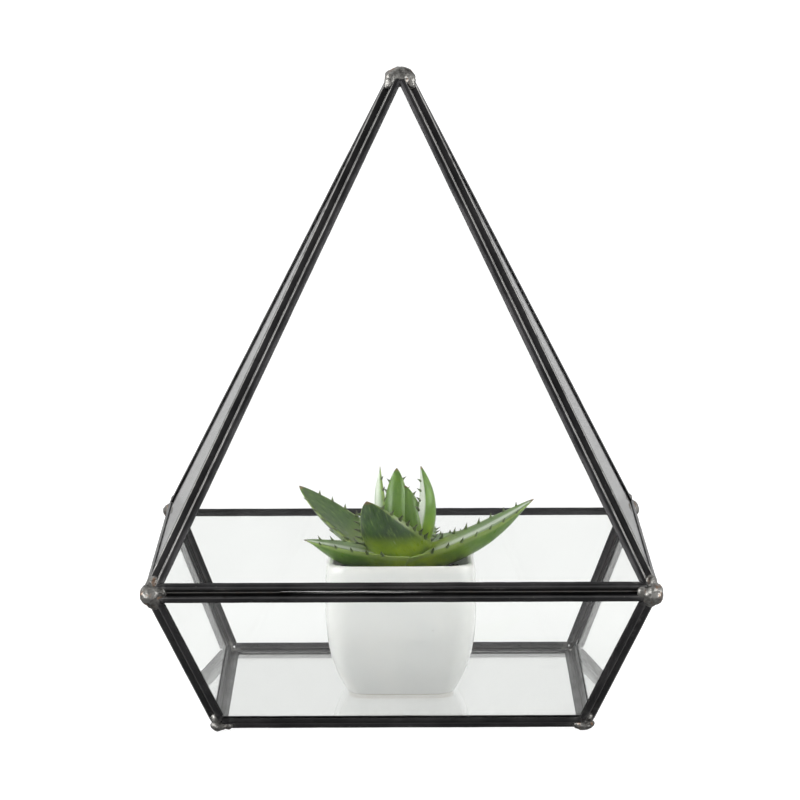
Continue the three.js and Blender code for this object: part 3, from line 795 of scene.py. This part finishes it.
GLAZE, shader, place = new_material(
    "white glaze", Coat_Weight=0.6, Coat_Roughness=0.06, Specular_IOR_Level=0.5)
height = node(place.tree, "SeparateXYZ", {0: place})[2]
lip_tone, foot_bare = remap(height, *LIP_ZONE), remap(height, *BARE_FOOT)
pooled = use(PATCHES, place, Scale=38.0, Amount=0.5, Softness=0.2)
pinholes = use(SPECKS, place, Scale=150.0, Size=0.06, Share=0.06)
colour = layered((250, 250, 247), ((244, 245, 243), pooled), ((252, 251, 247), lip_tone),
                 ((150, 140, 124), pinholes * 0.6), ((206, 196, 180), foot_bare))
end_material(shader, colour, between(foot_bare, 0.2, 0.75),
             use(GRAIN, place, Scale=160.0, Coarse=2.0), 0.06, 0.5)

# %% Build the pot
CORNER_SHARE = 0.36
CORNER_STEPS, SIDE_STEPS = 12, 10


def rounded_square(half, z):
    """A ring of points round a square with round corners, counterclockwise."""
    radius = half * CORNER_SHARE
    reach = half - radius
    angles = [math.pi / 2 * step / CORNER_STEPS for step in range(CORNER_STEPS + 1)]
    quarter = [(reach + radius * math.cos(a), reach + radius * math.sin(a)) for a in angles]
    quarter += [(reach - 2 * reach * step / SIDE_STEPS, half) for step in range(1, SIDE_STEPS)]
    turns = [((x, y), (-y, x), (-x, -y), (y, -x)) for x, y in quarter]
    return [POT_CENTRE + Vector((x * MM, y * MM, z)) for ring in zip(*turns) for x, y in ring]


def lofted(name, rings):
    """A closed body through rings of equally many points, its end rings capped."""
    count = len(rings[0])
    points = [p for ring in rings for p in ring]
    faces = []
    for r in range(len(rings) - 1):
        for k in range(count):
            a, b = r * count + k, r * count + (k + 1) % count
            faces.append((a, b, b + count, a + count))
    for ring, start in ((rings[0], 0), (rings[-1], (len(rings) - 1) * count)):
        points.append(sum(ring, Vector()) / count)
        for k in range(count):
            pair = (start + k, start + (k + 1) % count)
            faces.append((len(points) - 1, *(reversed(pair) if start == 0 else pair)))
    return mesh_object(name, points, faces)


pot = lofted("glazed_pot", [rounded_square(half, POT_Z + h * MM) for half, h in profile])
pot.data.materials.append(GLAZE)
settle(pot, "pot", "pot")

# %% [markdown]
# Potting soil is a bed of dark crumbs. A bed with low noise carries the shade between the crumbs,
# and Geometry Nodes scatter the crumbs over it: each is one of few faces, turned, squashed and
# dented at random, because hundreds of them only need to look broken, not round.

# %% Soil colour
SOIL, shader, place = new_material("damp soil", Specular_IOR_Level=0.25)
clods = use(PATCHES, place, Scale=300.0, Amount=0.45, Softness=0.15)
dry = use(PATCHES, place, Scale=120.0, Amount=0.35, Softness=0.1)
bits = use(SPECKS, place, Scale=500.0, Size=0.3, Share=0.15)
colour = layered((30, 23, 18), ((18, 14, 12), clods), ((60, 47, 35), dry * 0.5),
                 ((110, 92, 70), bits * 0.5))
end_material(shader, colour, between(clods, 0.95, 0.7),
             use(GRAIN, place, Scale=1500.0, Coarse=1.0), 0.3, 0.9)

# %% Soil bed
SOIL_TOP, SOIL_ROOM = 50.0, 0.3  # height over the pot's foot, and room to its wall and floor
BED_SINK, BED_DOME, BED_UNEVEN = 1.3, 0.6, 0.35
LOW_HEIGHTS = (POT_FLOOR + SOIL_ROOM, 8, 15, 28, 40, SOIL_TOP - 2.5)
DOME_SHARES = np.linspace(0.99, 0.06, 22)

fill_half = pot_half(POT_HEIGHT) - POT_WALL - SOIL_ROOM
random = np.random.default_rng(5)
bed_rings = [rounded_square(min(fill_half, pot_half(h) - POT_WALL - SOIL_ROOM), POT_Z + h * MM)
             for h in LOW_HEIGHTS]
for share in DOME_SHARES:
    dome = SOIL_TOP - BED_SINK + BED_DOME * (1 - share ** 2)
    ring = rounded_square(fill_half * share, POT_Z + dome * MM)
    bed_rings.append([p + Vector((0, 0, random.uniform(-BED_UNEVEN, BED_UNEVEN) * MM))
                      for p in ring])
bed = lofted("soil_bed", bed_rings)
print("soil bed:", len(bed_rings), "rings")

# %% Strew the crumbs
tree, size = geometry_tree("crumbs", "Crumb size", "Density", "Lowest", "Seed")


def random_vector(low, high, seed):
    return node(tree, "RandomValue", {0: low, 1: high, "Seed": seed}, data_type="FLOAT_VECTOR")


height = node(tree, "SeparateXYZ", {0: node(tree, "InputPosition")})[2]
on_top = node(tree, "Compare", {0: height, 1: size["Lowest"]}, data_type="FLOAT",
              operation="GREATER_THAN")
scatter = node(tree, "DistributePointsOnFaces",
               {"Mesh": size["Geometry"], "Selection": on_top, "Density": size["Density"],
                "Seed": size["Seed"]})
crumb = node(tree, "MeshUVSphere", {"Segments": 7, "Rings": 5, "Radius": 1.0})
spin = random_vector((0.0, 0.0, 0.0), (6.3, 6.3, 6.3), size["Seed"])
squash = random_vector((0.35, 0.35, 0.25), (1.0, 0.85, 0.6), 7)
strewn = node(tree, "InstanceOnPoints",
              {"Points": scatter, "Instance": crumb, "Rotation": spin,
               "Scale": scaled(squash, size["Crumb size"])})
dented = jostled(node(tree, "RealizeInstances", {0: strewn}), size["Crumb size"],
                 scale=700.0, detail=1.0)
both = node(tree, "JoinGeometry")
for layer in (size["Geometry"], dented):
    tree.links.new(layer.socket, both.socket.node.inputs[0])
end_tree(both, size["Finish"])

soil = plain_piece("soil_bed", bed, tree, {
    "Crumb size": 1.5 * MM, "Density": 420000.0, "Lowest": POT_Z + (SOIL_TOP - 2) * MM,
    "Seed": 11, "Finish": SOIL})
settle(soil, "soil", "soil")

# %% [markdown]
# An aloe leaf is a thick tongue: hollow above, full below, widest near its root, ending in a thin
# dry point. It bends and turns along its length. Each leaf is a loft along a path that is walked
# in small steps, with the same numbers as in the solids, and with a fine section, so that light
# rolls over it. A leaf keeps its own coordinates, in centimetres, for the pattern that follows it.

# %% Leaf shapes
SOIL_Z = 54.2
LEAF_EDGE, LEAF_FULLNESS = 0.7, 0.3
LEAVES = {  # root x, y, height; azimuth, sweep; rise at root and tip; length, width, roll
    "left_high": ((-3, 2, 8), 166, -12, (29, 36), 54, 22, -20),
    "left_low": ((-1, -6, 10.6), 206, -18, (10, 11), 45, 26, -4),
    "front": ((3.1, 4.2, 8), 244, -22, (26, 58), 43, 32, 24),
    "right_low": ((2, -5, 9.5), -18, 30, (17, 31), 63, 22, 8),
    "upright_left": ((-1.4, 3, 10), 172, 0, (68, 88), 39, 15, 14),
    "upright_front": ((-2, -1, 10), 262, 0, (88, 92), 38, 16, 0),
    "upright_middle": ((7, 1.2, 10), 215, 0, (76, 80), 31, 17, 45),
    "upright_right": ((4, 3, 9), -18, 0, (58, 108), 41, 16, -12),
    "back_right": ((3, 3, 9), 36, 0, (17, 2), 37, 19, 0),
    "back_inner_right": ((2, 5, 9), 68, 0, (18, 4), 34, 18, 0),
    "back": ((0, 4, 10), 92, 0, (34, 44), 35, 18, 0),
    "back_inner_left": ((-2, 4, 9), 112, 0, (22, 26), 36, 18, 0),
    "back_left": ((-4, 2, 9), 142, 0, (18, 4), 37, 19, 0),
}
FULLER = {"left_low": 0.36, "right_low": 0.42}  # thicker leaves, as a share of the width
WALK_STEPS, ACROSS_STEPS = 160, 14
ROOT_WIDTH, WIDER, WIDTH_POWER = 0.8, 0.9, 0.75  # of the half width, along the leaf
TIP_HALF, EDGE_EXTRA, BELLY_EXTRA = 0.22, 0.08, 0.6
HOLLOW, HOLLOW_POWER, BELLY_POWER, BESIDE = 0.22, 2.2, 0.78, 1.03


def leaf_frames(leaf):
    """Along the leaf: share of its length, place, way ahead, way to the side, way up."""
    root, azimuth, sweep, rise, length, width, roll = leaf
    place = Vector(root) + Vector((0, 0, SOIL_Z))
    frames = []
    for i in range(WALK_STEPS + 1):
        s = i / WALK_STEPS
        az = math.radians(azimuth + sweep * s)
        slope = math.radians(rise[0] + (rise[1] - rise[0]) * s)
        tangent = Vector((math.cos(slope) * math.cos(az), math.cos(slope) * math.sin(az),
                          math.sin(slope)))
        side = Matrix.Rotation(math.radians(roll), 3, tangent) @ Vector(
            (-math.sin(az), math.cos(az), 0))
        frames.append((s, place.copy(), tangent, side, tangent.cross(side)))
        place += tangent * (length / WALK_STEPS)
    return frames


def leaf_half_width(leaf, s):
    return leaf[5] / 2 * (1 - s) ** WIDTH_POWER * (ROOT_WIDTH + WIDER * s)


def leaf_section(leaf, s, fullness):
    """The half width, and round the section: how far across, how high, 1 on the upper face."""
    half = max(leaf_half_width(leaf, s), TIP_HALF)
    thin = 1 - s ** 6
    edge = LEAF_EDGE / 2 * thin + EDGE_EXTRA
    depth = (leaf[5] * fullness * (1 - s ** 3) + LEAF_EDGE * BELLY_EXTRA) * thin
    hollow = half * HOLLOW * (1 - s)
    upper = [(a, edge - hollow * (1 - abs(a) ** HOLLOW_POWER), 1.0)
             for a in np.linspace(-1, 1, ACROSS_STEPS)]
    lower = [(a, -edge - depth * (1 - a * a) ** BELLY_POWER, 0.0)
             for a in np.cos(np.linspace(0, math.pi, ACROSS_STEPS))]
    return half, [*upper, (BESIDE, 0.0, 0.5), *lower, (-BESIDE, 0.0, 0.5)]


print("leaves:", len(LEAVES))

# %% [markdown]
# No two leaves have one green. All are yellow-green near their root, some are darker, and pale
# stripes of painted highlight lie on five of them. That depends on the leaf and on the place along
# and across it, so the mesh carries it, and the skin only has to read it.

# %% Where a leaf is young, dark or carries a painted highlight
DARKER = {"front": 1.0, "left_high": 0.75, "upright_left": 0.0, "upright_right": 0.0,
          "upright_front": 0.2, "upright_middle": 0.3}  # how dark a leaf is, from 0 to 1
OTHERS_DARK = 0.35
SHINE_STRIPES = {  # where the pale painted highlight lies: face (1 is the upper one), middle across, half width, amount
    "upright_left": (0.0, 0.45, 0.5, 1.0), "upright_right": (0.0, -0.93, 0.16, 1.5),
    "upright_middle": (0.0, -0.85, 0.2, 1.0), "right_low": (1.0, -0.1, 0.45, 0.6),
    "left_low": (1.0, 0.1, 0.5, 0.6)}
SHINE_RISE = 2.4  # the painted highlight is whole from 1/2.4 of the leaf's length on
YOUNG_BELOW, YOUNG_FADE = 76 * MM, 9 * MM  # the front leaf stays yellow-green up to here
YOUNG_UNTIL, YOUNG_LENGTH = 0.55, 0.45  # the others by shares of their length


def painted_shine_at(name, s, a, face):
    """How much pale painted highlight there is, fading at the leaf's root and to both sides of its
    stripe.
    """
    shine_face, middle, half, amount = SHINE_STRIPES.get(name, (1.0, 0.0, 1.0, 0.0))
    if face == 1 - shine_face:
        return 0.0
    return amount * max(0.0, 1 - ((a - middle) / half) ** 2) * min(1.0, SHINE_RISE * s)


def young_at(name, s, height):
    """1 where the leaf is still yellow-green near its root, fading to 0 towards the tip."""
    t = (YOUNG_BELOW - height) / YOUNG_FADE if name == "front" else (YOUNG_UNTIL - s) / YOUNG_LENGTH
    t = min(1.0, max(0.0, t))
    return t * t * (3 - 2 * t)


print("waxy leaves:", list(SHINE_STRIPES))

# %% Loft the leaves
STATIONS, CLOSER_TO_TIP = 44, 1.35
RIPPLE, RIPPLE_TURNS = 0.25, 17  # height of the margins' wave in mm, and its radians per leaf
ANY_PHASE = 6.28

random = np.random.default_rng(17)
points, faces, uv = [], [], []
values = {name: [] for name in ("along", "across", "upper", "tone", "painted_shine", "young")}
for name, leaf in LEAVES.items():
    frames = leaf_frames(leaf)
    fullness = FULLER.get(name, LEAF_FULLNESS)
    ripple = random.uniform(0, ANY_PHASE)
    first = len(points)
    for k in range(STATIONS + 1):
        share = 1 - (1 - k / STATIONS) ** CLOSER_TO_TIP
        s, place, tangent, side, up = frames[round(share * WALK_STEPS)]
        half, section = leaf_section(leaf, s, fullness)
        sway = RIPPLE * math.sin(s * RIPPLE_TURNS + ripple) * (1 - s)
        for a, height, face in section:
            rim = sway * a * abs(a)
            points.append((place + side * (a * half) + up * (height + rim)) * MM)
            uv.append((a * half / 10, s * leaf[4] / 10))
            add_row(values, (s, a, face, DARKER.get(name, OTHERS_DARK),
                             painted_shine_at(name, s, a, face), young_at(name, s, points[-1].z)))
    ring = len(section)
    for k in range(STATIONS):
        for j in range(ring):
            a, b = first + k * ring + j, first + k * ring + (j + 1) % ring
            faces.append((a, a + ring, b + ring, b))
    faces.append(tuple(range(first, first + ring)))
    faces.append(tuple(reversed(range(first + STATIONS * ring, first + (STATIONS + 1) * ring))))
leaves = mesh_object("aloe_leaves", points, faces)
give_values(leaves.data, **values)
layer = leaves.data.uv_layers.new(name="leaf")
corner_points = [loop.vertex_index for loop in leaves.data.loops]
layer.data.foreach_set("uv", np.array([uv[i] for i in corner_points], np.float32).ravel())
print("leaf faces:", len(faces))

# %% [markdown]
# The skin lays its colours over each other in the order in which they lie on the leaf: green, the
# young yellow-green foot, clouds and streaks, whitish flecks, a pale margin, a pale painted
# highlight stripe, and a brown dry tip. Streaks and flecks read the leaf's own coordinates, so they
# bend with it.

# %% Leaf skin
LEAF, shader, place = new_material(
    "aloe skin", Coat_Weight=0.18, Coat_Roughness=0.18, Specular_IOR_Level=0.3)
skin = node(place.tree, "UVMap", uv_map="leaf")
stretched = node(place.tree, "Mapping", {"Vector": skin, "Scale": (1.0, 0.22, 1.0)})
streaks = noise_in(place.tree, stretched, 9.0, 4.0, Roughness=0.6)
flecks = use(SPECKS, stretched, Scale=6.5, Size=0.26, Share=0.35)
cloudy = use(PATCHES, place, Scale=90.0, Amount=0.5, Softness=0.15)
margin = remap(mesh_value(place, "across").math("ABSOLUTE"), 0.92, 1.0)
# pale painted highlight stripes on five leaves
painted_shiny = mesh_value(place, "painted_shine") * remap(streaks, 0.2, 0.45, 0.6, 1.0)
dry_tip = remap(mesh_value(place, "along"), 0.95, 0.99)
colour = layered((110, 152, 48), ((34, 62, 14), mesh_value(place, "tone")),
                 ((158, 182, 34), mesh_value(place, "young")), ((66, 102, 36), cloudy * 0.35),
                 ((138, 172, 80), remap(streaks, 0.5, 0.75) * 0.4),
                 ((180, 198, 150), flecks * 0.3), ((162, 182, 104), margin * 0.6),
                 ((238, 244, 230), painted_shiny), ((120, 96, 60), dry_tip))
end_material(shader, colour, remap(streaks, 0.3, 0.7, 0.26, 0.42),
             use(GRAIN, stretched, Scale=34.0, Coarse=1.6) + flecks * 0.6, 0.12, 0.6)
leaves.data.materials.append(LEAF)

# %% [markdown]
# Aloe margins carry soft-looking but stiff teeth at an even spacing, leaning towards the tip. They
# repeat along a path, so Geometry Nodes set one slim cone on each point of the margin, turned by
# the two directions that the point carries and scaled by its size. A tooth turns horny and brown
# towards its point, so it carries how far along itself a place is.

# %% Tooth horn
HORN, shader, place = new_material("tooth horn", Coat_Weight=0.15)
reach = mesh_value(place, "reach")
grainy = use(PATCHES, place, Scale=900.0, Amount=0.5, Softness=0.2)
colour = layered((96, 120, 60), ((62, 60, 38), remap(reach, 0.3, 0.95)),
                 ((66, 56, 38), grainy * 0.5))
end_material(shader, colour, between(reach, 0.5, 0.35),
             use(GRAIN, place, Scale=2600.0, Coarse=0.5), 0.03, 0.5)

# %% Where the teeth stand
TOOTH_SPACING = 4.2
WIDE_SPACING = {"left_low": 6.2, "right_low": 6.4, "left_high": 6.0}
TOOTHED_FROM, TOOTHED_SHARE = 0.2, 0.72  # of the leaf's length
TOOTH_LEAN, TOOTH_LIFT = math.radians(40), 0.5
LIFTS = {"front": 0.0, "left_low": 1.1, "right_low": 1.1}
LARGER, TIP_SHRINK = {"front": 1.3}, 0.45
TOOTH_SUNK = 0.45

points = []
values = {name: [] for name in ("out", "up", "size")}
for name, leaf in LEAVES.items():
    frames = leaf_frames(leaf)
    lift = LIFTS.get(name, TOOTH_LIFT)
    count = int(leaf[4] * TOOTHED_SHARE / WIDE_SPACING.get(name, TOOTH_SPACING))
    for hand, first in ((-1, 0.25), (1, 0.5)):
        for k in range(count):
            s = TOOTHED_FROM + TOOTHED_SHARE * (k + first) / count
            s, place, tangent, side, up = frames[round(s * WALK_STEPS)]
            out = (side * hand + up * lift) * math.cos(TOOTH_LEAN)
            out += tangent * math.sin(TOOTH_LEAN)
            root = place + side * (hand * (leaf_half_width(leaf, s) - TOOTH_SUNK))
            points.append(root * MM)
            tooth_size = LARGER.get(name, 1.0) * (1 - TIP_SHRINK * s ** 2)
            add_row(values, (out.normalized(), up, tooth_size))
guide = new_guide("tooth_guide", points, **values)
print("teeth:", len(points))

# %% Set the teeth
TOOTH_LENGTH, TOOTH_RADIUS, FLATNESS = 3.4, 1.2, 0.7

tree, size = geometry_tree("margin teeth", "Length", "Radius", "Slimming")
cone = node(tree, "MeshCone", {"Vertices": 9, "Side Segments": 5, "Fill Segments": 1,
                               "Radius Top": 0.04, "Radius Bottom": 1.0, "Depth": 1.0})
on_cone = node(tree, "InputPosition")
reach = node(tree, "SeparateXYZ", {0: on_cone})[2]
marked = stored(cone, "reach", reach)
narrowing = 1.0 - reach * size["Slimming"]
slim = node(tree, "CombineXYZ", {0: narrowing, 1: narrowing, 2: 1.0})
tooth = node(tree, "SetPosition",
             {"Geometry": marked, "Position": vector_math("MULTIPLY", on_cone, slim)})
facing = node(tree, "AxesToRotation",
              {"Primary Axis": carried(tree, "out", "FLOAT_VECTOR"),
               "Secondary Axis": carried(tree, "up", "FLOAT_VECTOR")},
              primary_axis="Z", secondary_axis="X")
flat = node(tree, "CombineXYZ",
            {0: size["Radius"] * FLATNESS, 1: size["Radius"], 2: size["Length"]})
rows = node(tree, "InstanceOnPoints",
            {"Points": size["Geometry"], "Instance": tooth, "Rotation": facing,
             "Scale": scaled(flat, carried(tree, "size"))})
end_tree(rows, size["Finish"])
teeth = plain_piece("aloe_teeth", guide, tree, {
    "Length": (TOOTH_LENGTH + TOOTH_SUNK) * MM, "Radius": TOOTH_RADIUS * MM, "Slimming": 0.35,
    "Finish": HORN})
print("tooth faces:", len(teeth.data.polygons))

# %% [markdown]
# Where the leaves part, the short stem shows, wrapped in the dry papery remains of older leaves.
# Overlapping rings with a ragged edge read as that at this size.

# %% Stem
STEM_LOW, STEM_HIGH = -9, 10  # the solid's ends over the soil
STEM_FOOT, STEM_TAPER = 7.0, 1.75
SHEATHS_FROM, SHEATH_RINGS = -6, 33
SHEATH_STEP, SHEATH_LIP, SHEATH_RAGGED = 2.6, 0.45, 0.12
ROUND_STEPS = 36

STEM, shader, place = new_material("dry stem")
fibres = node(place.tree, "Mapping", {"Vector": place, "Scale": (1.0, 1.0, 0.15)})
bark = use(PATCHES, fibres, Scale=900.0, Amount=0.5, Softness=0.15)
end_material(shader, layered((122, 112, 66), ((92, 72, 46), bark)), between(bark, 0.6, 0.85),
             use(GRAIN, fibres, Scale=1800.0, Coarse=1.0), 0.2, 0.8)

random = np.random.default_rng(9)
stem_rings = []
for height in np.linspace(SHEATHS_FROM, STEM_HIGH, SHEATH_RINGS):
    sheath = SHEATH_LIP * ((height / SHEATH_STEP) % 1)
    flare = STEM_FOOT - STEM_TAPER * (height - STEM_LOW) / (STEM_HIGH - STEM_LOW) + sheath
    ring = []
    for k in range(ROUND_STEPS):
        angle = 2 * math.pi * k / ROUND_STEPS
        radius = flare + random.uniform(-SHEATH_RAGGED, SHEATH_RAGGED)
        ring.append(Vector((radius * math.cos(angle), radius * math.sin(angle),
                            SOIL_Z + height)) * MM)
    stem_rings.append(ring)
stem = lofted("aloe_stem", stem_rings)
stem.data.materials.append(STEM)
for piece in (leaves, teeth, stem):
    settle(piece, "leaf", "aloe")

# %% [markdown]
# The photo is a cut-out on pure white, lit softly from all round. A large pale floor fills the
# view, and like a light table it glows: plain white where it is looked at, stronger on whatever
# is matt, so that the pot and the leaves get light from below, and dim in mirrors, so that metal
# and glass stay dark.

# %% Glowing floor
WHITE = (1.0, 1.0, 1.0, 1.0)
SEEN_GLOW, MATT_GLOW, MIRROR_DIMMING = 0.94, 1.0, 0.84
FLOOR_HALF, FLOOR_BACK = 30, 60

FLOOR, shader, place = new_material("pale floor", Roughness=0.6, Specular_IOR_Level=0.0,
                                    Emission_Color=WHITE)
path = node(place.tree, "LightPath")
in_mirror = path["Is Glossy Ray"] * path["Is Reflection Ray"]
glow = path["Is Diffuse Ray"] * MATT_GLOW + SEEN_GLOW - in_mirror * MIRROR_DIMMING
tint = use(PATCHES, place, Scale=1.5, Amount=0.5, Softness=0.3)
feed(shader, Base_Color=layered((130, 130, 130), ((127, 127, 127), tint)),
     Emission_Strength=glow)
floor = mesh_object("floor", [(-FLOOR_HALF, -FLOOR_HALF, 0), (FLOOR_HALF, -FLOOR_HALF, 0),
                              (FLOOR_HALF, FLOOR_BACK, 0), (-FLOOR_HALF, FLOOR_BACK, 0)],
                    [(0, 1, 2, 3)])
floor.data.materials.append(FLOOR)

# %% [markdown]
# The rest of the light is one plain sky with soft glows in it: through clear glass that gives an
# even, noise-free light, where lamps would throw bright flecks. It is bright and low behind the
# case, so the panes look clear. Two strong, low glows at the sides draw the thin light lines down
# the posts, a small low one in front reaches the pot, and a soft one is overhead. The sky is dark
# elsewhere, because the upper front pane mirrors it.

# %% Sky
GLOWS = [  # direction, cosine where the glow starts and is full, how much it adds
    ((0.0, 1.0, 0.15), -0.1, 0.5, 0.75),
    ((-0.86, -0.33, 0.1), 0.82, 0.96, 10.4),
    ((0.88, -0.3, 0.1), 0.84, 0.96, 9.2),
    ((0.0, 0.3, 1.0), 0.62, 0.96, 0.8),
    ((0.0, -1.0, 0.1), 0.86, 0.98, 1.8),
]
SKY_STRENGTH = 0.23

scene = bpy.context.scene
scene.world = bpy.data.worlds.new("studio")
scene.world.use_nodes = True
sky = scene.world.node_tree.nodes["Background"]
sky.inputs["Color"].default_value = WHITE
direction = node(scene.world.node_tree, "TexCoord")["Generated"]
glows = []
for way, start, full, amount in GLOWS:
    facing = vector_math("DOT_PRODUCT", direction, tuple(Vector(way).normalized()))
    glows.append(remap(facing, start, full) * amount)
feed(sky, Strength=sum(glows[1:], glows[0] + SKY_STRENGTH))
scene.view_settings.view_transform = "Standard"
scene.cycles.transparent_max_bounces = 16
scene.cycles.max_bounces = 16
scene.cycles.transmission_bounces = 14
print("light: one sky with", len(GLOWS), "soft glows")
